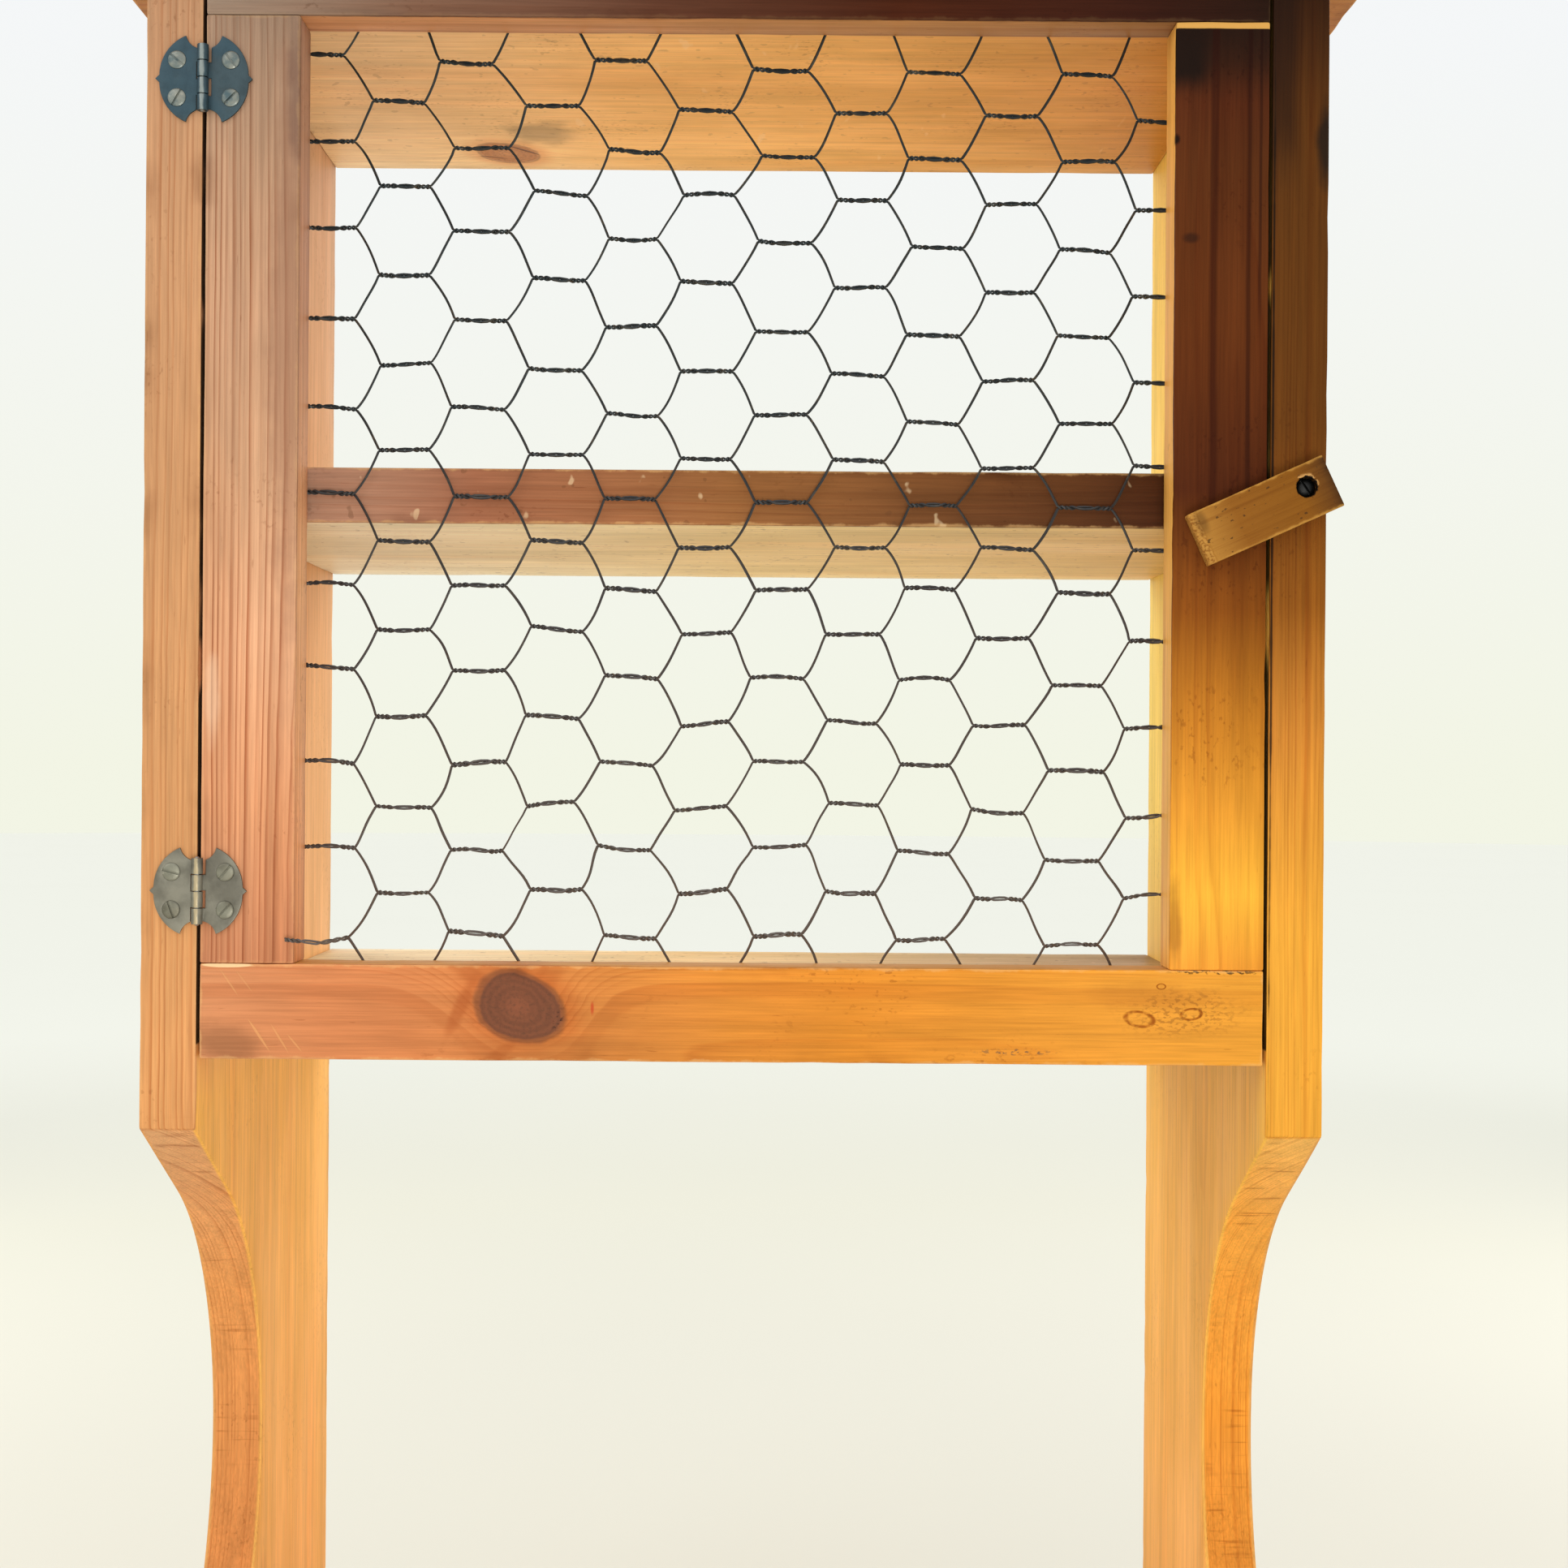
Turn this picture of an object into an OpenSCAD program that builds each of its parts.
// Small pine cupboard: two side boards carry a cap, an inner top, a shelf, a cabinet floor and a base shelf.
// A framed door of wire netting hangs on two butterfly hinges, and a wooden turn button holds it shut.
// X runs to the right, Y to the back and Z up. The origin is under the middle of the whole cupboard.

/* [Case] */
// Thickness of every board in the case
board_t = 19; // [17:0.5:21]
// Clear width between the two side boards
inner_w = 358; // [345:1:370]
// Depth of the side boards, front edge to back edge
side_depth = 235; // [225:1:260]
// Height of the side boards
side_h = 725; // [722:1:735]
// Overhang of the cap board at the front and at both sides
cap_overhang = 26; // [15:1:40]
// How far the boards inside the cabinet stand back from the front edges of the sides
board_setback = 21; // [20.5:0.5:30]
// Height of the open gap under the base shelf
base_gap = 25; // [10:1:40]
// Height of the underside of the cabinet's floor
floor_z = 345; // [340:1:348]
// Height of the underside of the shelf behind the door
shelf_z = 528; // [500:1:560]

/* [Scooped side boards] */
// Height of the middle of the scoop in the front edge
scoop_z = 194; // [190:1:200]
// Radius of the round part of the scoop
scoop_r = 115; // [105:1:120]
// How far the scoop's centre lies in front of the side board's front edge
scoop_out = 9.5; // [8:0.5:20]
// Angle of the straight flanks of the scoop, from level
scoop_flank = 31; // [28:1:36]

/* [Door] */
// Gap between the door and each side board
door_gap = 1; // [0.8:0.1:2]
// Height of the door's lower edge
door_z = 346; // [346:0.5:348]
// Gap between the door's upper edge and the cap
door_top_gap = 2; // [1:0.5:4]
// Thickness of the door's frame
door_t = 18; // [16:0.5:18]
// Width of the door's two stiles
stile_w = 31.5; // [30:0.5:36]
// Height of the door's bottom rail
bottom_rail_h = 32; // [31:0.5:33]
// Height of the door's top rail
top_rail_h = 27.5; // [27:0.5:30]
// Radius of the dowels in the frame's corners
dowel_r = 3; // [2:0.5:3]
// Length of the dowels in the frame's corners
dowel_l = 40; // [30:1:44]

/* [Wire netting] */
// Distance between neighbouring columns of twists
net_pitch_x = 26.5; // [26.5:0.5:27]
// Distance between two twists of one column
net_pitch_z = 30.2; // [30:0.1:30.4]
// Length of a twist
twist_l = 18.4; // [16:0.2:20]
// Width of a twist, which is two wires side by side
twist_w = 1.8; // [1.4:0.1:2.2]
// Width of a single wire
wire_w = 0.95; // [0.8:0.05:1.2]
// Thickness of the netting
net_t = 1.4; // [1:0.1:1.4]
// How far the netting reaches over the frame at the left and right
net_lap = 10.5; // [10:0.5:11]
// Width of a staple's crown, outside its legs
staple_w = 8; // [7:0.5:9]
// Thickness of a staple's wire
staple_t = 0.9; // [0.6:0.1:0.9]
// Depth of a staple's legs in the wood
staple_l = 5.5; // [4:0.5:6]

/* [Butterfly hinges] */
// Height of the middle of the upper hinge
upper_hinge_z = 673.6; // [665:0.1:680]
// Height of the middle of the lower hinge
lower_hinge_z = 402.2; // [398:0.1:410]
// Thickness of a hinge leaf
leaf_t = 1; // [0.8:0.1:1.2]
// Radius of the round lobes of a leaf
leaf_r = 14.4; // [14:0.1:15]
// Reach of a leaf's middle point, from the pin
leaf_reach = 16.3; // [16:0.1:17]
// Outer radius of the hinge's knuckles
knuckle_r = 1.9; // [1.7:0.1:2]
// Height of one knuckle with the gap to the next
knuckle_pitch = 5.6; // [5:0.1:6]
// Radius of the hinge pin
pin_r = 0.9; // [0.7:0.05:1]
// Distance of the hinge screws from the pin
leaf_screw_x = 9; // [8.5:0.1:9.5]
// Distance of the hinge screws above and below the middle
leaf_screw_z = 6.3; // [6:0.1:6.6]

/* [Turn button] */
// Length of the turn button
button_l = 48.4; // [40:0.1:52]
// Width of the turn button
button_w = 18.3; // [14:0.1:20]
// Thickness of the turn button
button_t = 8; // [6:0.5:10]
// Distance of its screw from the short end
button_hole_x = 9; // [8:0.5:12]
// How far the screw sits off the button's centre line
button_hole_z = 1.5; // [0:0.1:3]
// Height of the button's screw
button_z = 539; // [480:1:600]
// How far the button hangs down from level
button_tilt = 24.5; // [0:0.5:45]
// Length of the bevel on the button's long end
button_bevel = 2.6; // [1:0.1:4]

/* [Nails] */
// Radius of a nail's shank
nail_r = 1.1; // [0.8:0.1:1.4]
// Radius of a nail's head
nail_head_r = 1.7; // [1.5:0.1:2]
// Length of a nail
nail_l = 45; // [38:1:50]

/* [Hidden] */
$fn = 64;
over = 1;

pine = [0.80, 0.52, 0.25];
pale_pine = [0.86, 0.64, 0.38];
bright_steel = [0.62, 0.60, 0.56];
netting_grey = [0.28, 0.32, 0.33];
pewter = [0.42, 0.45, 0.43];
dull_brass = [0.62, 0.58, 0.44];
black_steel = [0.10, 0.10, 0.11];

// The case's planes
side_x = inner_w / 2;
outer_x = side_x + board_t;
front_y = cap_overhang - (side_depth + cap_overhang) / 2;
back_y = front_y + side_depth;
board_y = front_y + board_setback;
inner_top_z = side_h - board_t;

// The door's planes
door_x = side_x - door_gap;
door_top = side_h - door_top_gap;
door_back = front_y + door_t;
opening_x = door_x - stile_w;
opening_z0 = door_z + bottom_rail_h;
opening_z1 = door_top - top_rail_h;
dowel_steps = [6, 18];

// The netting: even columns have a twist at net_z, odd columns half a pitch lower
net_x = -119;
net_z = 673.4;
net_columns = [-2:11];
net_rows = [-2:11];
net_half_w = opening_x + net_lap;
net_z0 = opening_z0 - 8.5;
net_z1 = opening_z1 + 10;
net_back = door_back + net_t;
rail_columns = [0:2:8];
top_row = -1;
bottom_row = 10;
stile_rows = [0.5:2:9];
staple_lap = 4.5;

// The hinges stand on the front plane, with the pin over the gap beside the door
pin_x = -side_x + door_gap / 2;
pin_y = front_y - knuckle_r - 0.3;
knuckle_gap = 0.3;
running_fit = 0.05;
knuckles = 4;
barrel_h = knuckles * knuckle_pitch - knuckle_gap;
knuckle_notch = knuckle_r + 0.6;
lobe_x = 0.5;
lobe_z = 1.1;
lobe_notch_r = 5.55;
lobe_notch_x = 0.6;
lobe_notch_z = 15.6;

// The hinge screws
screw_head_r = 3;
screw_head_h = 1.75;
screw_r = 1.45;
screw_l = 16;
screw_proud = 0.55;
slot_w = 0.8;
slot_depth = 0.45;

// The turn button and its screw
button_x = side_x + 10.3;
button_clear = 0.4;
button_back = front_y - button_clear;
button_front = button_back - button_t;
button_bore_r = 3.4;
button_bore_depth = 4;
button_screw_r = 2;
button_head_r = 3.1;
button_head_h = 2.2;
button_screw_l = 30;

// Nails run along three lines through the depth of the boards, and the cap's nails miss the others
nail_head_h = 1.5;
nail_y = [board_y + 28, board_y + 105, back_y - 30];
cap_nail_shift = 15;
nailed_boards = [base_gap, floor_z, shelf_z, inner_top_z];

// ---- Boards of the case ----

// A flat board lying level between x0 and x1, with its underside at z
module level_board(x0, x1, y0, y1, z) {
    translate([x0, y0, z]) cube([x1 - x0, y1 - y0, board_t]);
}

// The scoop in depth and height: a round bottom with two straight flanks that reach the front edge
module scoop() {
    centre = [front_y - scoop_out, scoop_z];
    touch = [scoop_r * sin(scoop_flank), scoop_r * cos(scoop_flank)];
    reach = touch[0] - scoop_out + over;
    rise = touch[1] + reach * tan(scoop_flank);
    translate(centre) circle(r = scoop_r, $fn = 180);
    translate(centre)
        polygon([touch, [touch[0] - reach, rise], [touch[0] - reach, -rise], [touch[0], -touch[1]]]);
}

// One side board, standing from x outwards, with its scooped front edge
module side_board(x) {
    translate([x, 0, 0]) rotate([90, 0, 90]) linear_extrude(board_t) difference() {
        translate([front_y, 0]) square([side_depth, side_h]);
        scoop();
    }
}

// ---- Nails and dowels ----

// A finishing nail with its head at the origin, driven along +Z
module nail() {
    rotate_extrude($fn = 32)
        polygon([[0, 0], [nail_head_r, 0], [nail_r, nail_head_h], [nail_r, nail_l - 2], [0.3, nail_l], [0, nail_l]]);
}

// The nails that hold the level boards between the sides: side is -1 on the left and 1 on the right
module side_nails(side) {
    for (z = nailed_boards, y = nail_y)
        translate([side * outer_x, y, z + board_t / 2]) rotate([0, -90 * side, 0]) nail();
}

module cap_nails_at() {
    for (side = [-1, 1], y = nail_y)
        translate([side * (side_x + board_t / 2), y + cap_nail_shift, side_h + board_t])
            rotate([180, 0, 0]) nail();
}

module dowels() {
    for (side = [-1, 1], step = dowel_steps, z = [opening_z0, opening_z1])
        translate([side * (opening_x + step), front_y + door_t / 2, z - dowel_l / 2])
            cylinder(r = dowel_r, h = dowel_l, $fn = 32);
}

// ---- Door ----

// A bar of the door's frame between two corners, in width and height
module door_bar(x0, x1, z0, z1) {
    translate([x0, front_y, z0]) cube([x1 - x0, door_t, z1 - z0]);
}

// Height of a twist: row 0 is at net_z, and odd columns sit half a row lower
function twist_z(column, row) = net_z - net_pitch_z * (row + (column % 2 == 0 ? 0 : 0.5));

// The hole between two twists of a column, in width and height
module net_hole() {
    side_point = net_pitch_x - twist_l / 2;
    steepness = atan2(net_pitch_z / 2, side_point - twist_l / 2);
    top = net_pitch_z / 2 - twist_w / 2;
    tip = side_point - wire_w / 2 / sin(steepness);
    corner = tip - top / tan(steepness);
    polygon([[corner, top], [tip, 0], [corner, -top], [-corner, -top], [-tip, 0], [-corner, top]]);
}

module net_outline() {
    difference() {
        translate([-net_half_w, net_z0]) square([2 * net_half_w, net_z1 - net_z0]);
        for (column = net_columns, row = net_rows)
            translate([net_x + column * net_pitch_x, twist_z(column, row) - net_pitch_z / 2]) net_hole();
    }
}

// A staple over a level twist: its crown stands upright behind the netting, and its legs run forwards
module staple(x, z) {
    translate([x - staple_t / 2, net_back, z - staple_w / 2]) cube([staple_t, staple_t, staple_w]);
    for (leg = [-1, 1])
        translate([x - staple_t / 2, door_back - staple_l, z + leg * (staple_w - staple_t) / 2 - staple_t / 2])
            cube([staple_t, staple_l + net_t + staple_t, staple_t]);
}

module staples() {
    for (column = rail_columns, row = [top_row, bottom_row])
        staple(net_x + column * net_pitch_x, twist_z(column, row));
    for (row = stile_rows)
        staple(-opening_x - staple_lap, net_z - net_pitch_z * row);
    for (row = stile_rows)
        staple(opening_x + staple_lap, net_z - net_pitch_z * (row + 0.5));
}

// ---- Butterfly hinges ----

// Half of a leaf's outline above its middle, reaching to the right from the pin
module wing_half() {
    difference() {
        intersection() {
            translate([lobe_x, lobe_z]) circle(r = leaf_r, $fn = 96);
            translate([0, -over]) square(2 * leaf_r);
        }
        translate([lobe_notch_x, lobe_notch_z]) circle(r = lobe_notch_r);
    }
}

// A whole leaf to the right of the pin, notched clear of the other leaf's knuckles
module wing(first) {
    difference() {
        union() {
            wing_half();
            mirror([0, 1]) wing_half();
            polygon([[leaf_r - over, 2.6], [leaf_reach, 0], [leaf_r - over, -2.6]]);
        }
        for (k = [1 - first:2:knuckles - 1])
            translate([-over, knuckle_z(k) - knuckle_pitch / 2 - knuckle_gap / 2])
                square([over + knuckle_notch, knuckle_pitch + knuckle_gap]);
    }
}

// Height of a knuckle's middle, counted from the top
function knuckle_z(k) = ((knuckles - 1) / 2 - k) * knuckle_pitch;

// A leaf with every second knuckle, starting at first: side is 1 for the door and -1 for the case
module hinge_leaf(side, first, bore_r, z) {
    difference() {
        union() {
            translate([pin_x, front_y, z]) rotate([90, 0, 0]) linear_extrude(leaf_t)
                mirror([side < 0 ? 1 : 0, 0]) wing(first);
            for (k = [first:2:knuckles - 1])
                translate([pin_x, pin_y, z + knuckle_z(k) - (knuckle_pitch - knuckle_gap) / 2])
                    cylinder(r = knuckle_r, h = knuckle_pitch - knuckle_gap);
        }
        translate([pin_x, pin_y, z - barrel_h]) cylinder(r = bore_r, h = 2 * barrel_h);
        leaf_screw_bodies(side, z);
    }
}

module hinge_pin(z) {
    translate([pin_x, pin_y, z]) rotate_extrude()
        polygon([[0, -barrel_h / 2 - 0.5], [0.5, -barrel_h / 2 - 0.5], [pin_r, -barrel_h / 2],
                 [pin_r, barrel_h / 2], [0.5, barrel_h / 2 + 0.5], [0, barrel_h / 2 + 0.5]]);
}

// A countersunk wood screw without its slot, with the leaf's face at the origin, driven along +Z
module screw_body() {
    rotate_extrude()
        polygon([[0, -screw_proud], [screw_head_r * 0.6, -screw_proud], [screw_head_r, 0],
                 [screw_r, screw_head_h], [screw_r, screw_l - 3], [0.3, screw_l], [0, screw_l]]);
}

module screw(turn) {
    difference() {
        screw_body();
        rotate([0, 0, turn]) translate([-2 * screw_head_r, -slot_w / 2, -screw_proud - over])
            cube([4 * screw_head_r, slot_w, over + slot_depth]);
    }
}

module at_leaf_screw(side, z, row) {
    translate([pin_x + side * leaf_screw_x, front_y - leaf_t, z + row * leaf_screw_z]) rotate([-90, 0, 0])
        children();
}

module leaf_screw_bodies(side, z) {
    for (row = [-1, 1]) at_leaf_screw(side, z, row) screw_body();
}

// The two screws of a leaf, each with the angle of its slot
module leaf_screws(side, z, upper_turn, lower_turn) {
    at_leaf_screw(side, z, 1) screw(upper_turn);
    at_leaf_screw(side, z, -1) screw(lower_turn);
}

// ---- Turn button ----

module button_screw_body() {
    translate([button_x, button_front + button_bore_depth - button_clear, button_z]) rotate([-90, 0, 0]) {
        translate([0, 0, -button_head_h]) cylinder(r = button_head_r, h = button_head_h);
        cylinder(r = button_screw_r, h = button_screw_l);
    }
}

// The button's outline in length and thickness, with the bevel on its long end
module button_outline() {
    polygon([[-button_l + button_hole_x, 0], [button_hole_x, 0], [button_hole_x, button_t],
             [-button_l + button_hole_x + button_bevel, button_t],
             [-button_l + button_hole_x, button_t - button_bevel]]);
}

// ---- The nodes: case ----

module left_side() {
    color(pine) difference() {
        side_board(-outer_x);
        side_nails(-1);
        cap_nails_at();
        for (z = [upper_hinge_z, lower_hinge_z]) leaf_screw_bodies(-1, z);
    }
}

module right_side() {
    color(pine) difference() {
        side_board(side_x);
        side_nails(1);
        cap_nails_at();
        button_screw_body();
    }
}

module cap_board() {
    color(pine) difference() {
        level_board(-outer_x - cap_overhang, outer_x + cap_overhang, front_y - cap_overhang, back_y, side_h);
        cap_nails_at();
    }
}

// A board between the sides, bored for the nails that come through them
module nailed_board(y0, z) {
    difference() {
        level_board(-side_x, side_x, y0, back_y, z);
        side_nails(-1);
        side_nails(1);
    }
}

module inner_top() {
    color(pale_pine) nailed_board(board_y, inner_top_z);
}

module cabinet_shelf() {
    color(pale_pine) nailed_board(board_y, shelf_z);
}

module cabinet_floor() {
    color(pale_pine) nailed_board(board_y, floor_z);
}

module base_shelf() {
    color(pine) nailed_board(front_y, base_gap);
}

module cap_nails() {
    color(bright_steel) cap_nails_at();
}

module left_side_nails() {
    color(bright_steel) side_nails(-1);
}

module right_side_nails() {
    color(bright_steel) side_nails(1);
}

// ---- The nodes: door ----

module top_rail() {
    color(pine) difference() {
        door_bar(-door_x, door_x, opening_z1, door_top);
        dowels();
        staples();
    }
}

module bottom_rail() {
    color(pine) difference() {
        door_bar(-door_x, door_x, door_z, opening_z0);
        dowels();
        staples();
    }
}

module hinge_stile() {
    color(pine) difference() {
        door_bar(-door_x, -opening_x, opening_z0, opening_z1);
        dowels();
        staples();
        for (z = [upper_hinge_z, lower_hinge_z]) leaf_screw_bodies(1, z);
    }
}

module latch_stile() {
    color(pine) difference() {
        door_bar(opening_x, door_x, opening_z0, opening_z1);
        dowels();
        staples();
    }
}

module frame_dowels() {
    color(pale_pine) dowels();
}

module wire_netting() {
    color(netting_grey) translate([0, net_back, 0]) rotate([90, 0, 0]) linear_extrude(net_t) net_outline();
}

module netting_staples() {
    color(bright_steel) staples();
}

// ---- The nodes: hinges ----

module upper_hinge_case_leaf() {
    color(pewter) hinge_leaf(-1, 0, pin_r, upper_hinge_z);
}

module upper_hinge_door_leaf() {
    color(pewter) hinge_leaf(1, 1, pin_r + running_fit, upper_hinge_z);
}

module upper_hinge_pin() {
    color(bright_steel) hinge_pin(upper_hinge_z);
}

module upper_hinge_case_screws() {
    color(dull_brass) leaf_screws(-1, upper_hinge_z, 40, 120);
}

module upper_hinge_door_screws() {
    color(dull_brass) leaf_screws(1, upper_hinge_z, 52, -45);
}

module lower_hinge_case_leaf() {
    color(pewter) hinge_leaf(-1, 0, pin_r, lower_hinge_z);
}

module lower_hinge_door_leaf() {
    color(pewter) hinge_leaf(1, 1, pin_r + running_fit, lower_hinge_z);
}

module lower_hinge_pin() {
    color(bright_steel) hinge_pin(lower_hinge_z);
}

module lower_hinge_case_screws() {
    color(dull_brass) leaf_screws(-1, lower_hinge_z, 15, 70);
}

module lower_hinge_door_screws() {
    color(dull_brass) leaf_screws(1, lower_hinge_z, -50, -48);
}

// ---- The nodes: turn button ----

module turn_button() {
    color(pine) translate([button_x, button_back, button_z]) rotate([0, -button_tilt, 0]) difference() {
        translate([0, 0, -button_w / 2 - button_hole_z]) mirror([0, 1, 0]) linear_extrude(button_w)
            button_outline();
        rotate([90, 0, 0]) translate([0, 0, -over])
            cylinder(r = button_screw_r + running_fit, h = button_t + 2 * over);
        rotate([90, 0, 0]) translate([0, 0, button_t - button_bore_depth])
            cylinder(r = button_bore_r, h = button_bore_depth + over);
    }
}

module button_screw() {
    color(black_steel) difference() {
        button_screw_body();
        translate([button_x - slot_w / 2, button_front - over, button_z - button_head_r - over])
            cube([slot_w, over + button_bore_depth - button_clear - button_head_h + slot_depth,
                  2 * button_head_r + 2 * over]);
    }
}

left_side();
right_side();
cap_board();
inner_top();
cabinet_shelf();
cabinet_floor();
base_shelf();
cap_nails();
left_side_nails();
right_side_nails();
top_rail();
bottom_rail();
hinge_stile();
latch_stile();
frame_dowels();
wire_netting();
netting_staples();
upper_hinge_case_leaf();
upper_hinge_door_leaf();
upper_hinge_pin();
upper_hinge_case_screws();
upper_hinge_door_screws();
lower_hinge_case_leaf();
lower_hinge_door_leaf();
lower_hinge_pin();
lower_hinge_case_screws();
lower_hinge_door_screws();
turn_button();
button_screw();
